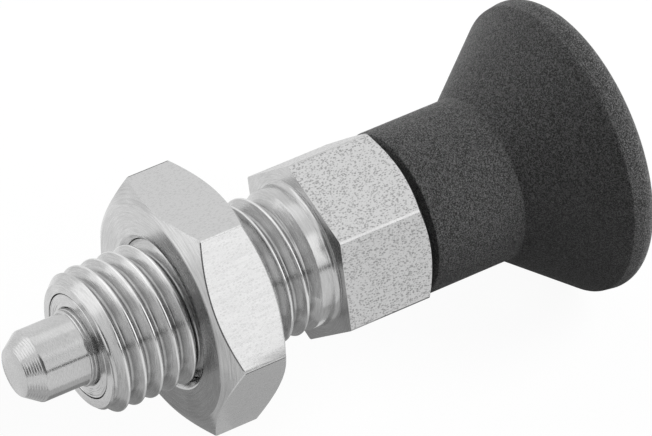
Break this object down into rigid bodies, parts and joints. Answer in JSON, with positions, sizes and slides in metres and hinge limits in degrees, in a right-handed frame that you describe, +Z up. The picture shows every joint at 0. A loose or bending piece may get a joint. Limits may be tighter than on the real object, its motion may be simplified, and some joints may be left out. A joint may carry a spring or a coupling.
{
  "type": "indexing plunger",
  "caption": "Threaded indexing plunger with a spring-loaded pin, a flared pull knob, a hexagon and a lock nut.",
  "frame": {"origin": "on the pin's axis, in the plane of the lock nut's front face, which bears on the plate that carries the plunger", "axes": "+X along the axis from the pin to the knob, which is the way the knob is pulled; +Z up"},
  "size_m": [0.0525, 0.025, 0.025],
  "materials": {
    "body_steel": "turned and drawn steel",
    "bush_steel": "fine turned",
    "pin_steel": "hardened and ground",
    "spring_steel": "drawn spring wire",
    "nut_steel": "turned and milled steel",
    "knob_plastic": "fine leather grain"
  },
  "bodies": {
    "sleeve": {"body": "body_steel", "guide_bush": "bush_steel"},
    "spring": {"spring": "spring_steel"},
    "plunger": {"plunger_pin": "pin_steel", "knob": "knob_plastic"},
    "nut": {"lock_nut": "nut_steel"}
  },
  "joints": [
    {"name": "pull", "type": "slide", "parent": "sleeve", "child": "spring", "axis": [1, 0, 0], "range_m": [0, 0.006], "stiffness_N_per_m": 1333, "springref_m": -0.0045, "deforming": ["spring"]},
    {"name": "plunger_spin", "type": "hinge", "parent": "spring", "child": "plunger", "pos_m": [0, 0, 0], "axis": [1, 0, 0], "continuous": true},
    {"name": "lock_nut_turn", "type": "hinge", "parent": "sleeve", "child": "nut", "pos_m": [0, 0, 0], "axis": [1, 0, 0], "continuous": true}
  ]
}
